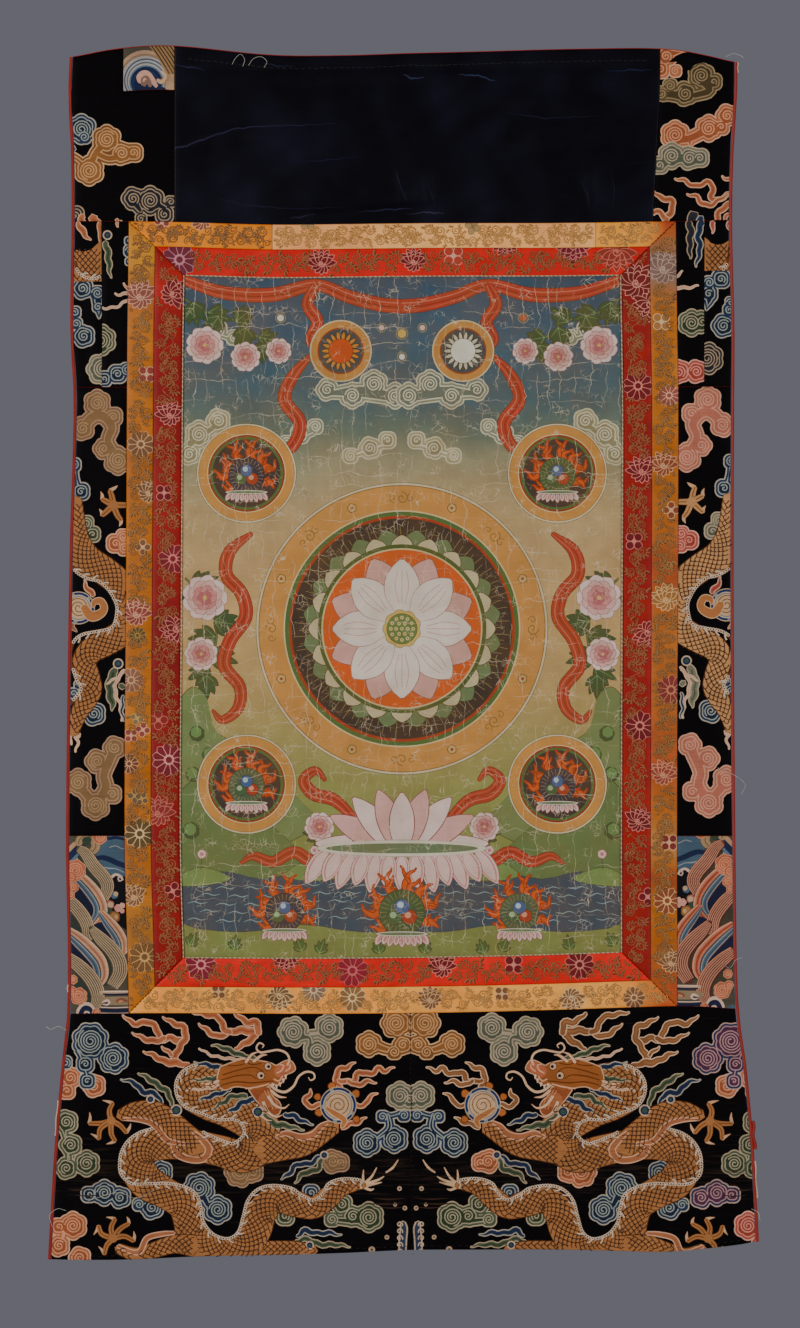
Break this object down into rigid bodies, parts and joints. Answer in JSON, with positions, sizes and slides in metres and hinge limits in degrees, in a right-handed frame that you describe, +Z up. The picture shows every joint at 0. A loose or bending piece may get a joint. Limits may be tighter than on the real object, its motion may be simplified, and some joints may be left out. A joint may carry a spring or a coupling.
{
  "type": "hanging scroll painting in a silk brocade mount",
  "caption": "Tall hanging scroll: a painted cloth framed in mitred red and gold silk strips, with a dark satin heading, brocade side columns and a wide brocade skirt, held by its top edge.",
  "frame": {"origin": "the middle of the top edge, halfway through the cloth's thickness, where the scroll is held", "axes": "+Z up along the scroll's length, -Y towards the viewer's side, which carries the painting, and +X to the viewer's right"},
  "size_m": [0.7308, 0.0164, 1.2501],
  "materials": {
    "navy_satin": "dark navy silk satin",
    "black_brocade": "black silk brocade with woven clouds and flames",
    "wave_brocade": "silk brocade of striped waves",
    "dragon_brocade": "black silk brocade with woven gold dragons and clouds",
    "gold_brocade": "gold silk brocade with a scrolling vine",
    "tan_brocade": "tan silk damask with a scrolling vine",
    "red_brocade": "red silk brocade with a scrolling vine",
    "painted_cloth": "matt painted cotton, creased and crackled",
    "red_silk": "plain red silk, worn",
    "cream_cord": "fine twisted cream cord"
  },
  "bodies": {
    "root": {"column_left_cloud": "black_brocade", "column_left_inner": "black_brocade", "column_left_outer": "black_brocade", "column_left_wave": "wave_brocade", "column_right_cloud": "black_brocade", "column_right_inner": "black_brocade", "column_right_outer": "black_brocade", "column_right_wave": "wave_brocade", "gold_foot": "gold_brocade", "gold_left": "gold_brocade", "gold_right": "gold_brocade", "gold_top_left": "gold_brocade", "gold_top_right": "gold_brocade", "heading": "navy_satin", "heading_block": "black_brocade", "heading_block_notched": "black_brocade", "lining": "red_silk", "picture": "painted_cloth", "picture_cord_foot": "cream_cord", "picture_cord_left": "cream_cord", "picture_cord_right": "cream_cord", "picture_cord_top": "cream_cord", "piping_left": "red_silk", "piping_right": "red_silk", "red_foot": "red_brocade", "red_left": "red_brocade", "red_right": "red_brocade", "red_top": "red_brocade", "skirt_left": "dragon_brocade", "skirt_right": "dragon_brocade", "tan_top": "tan_brocade", "wave_scrap": "wave_brocade"}
  },
  "joints": []
}
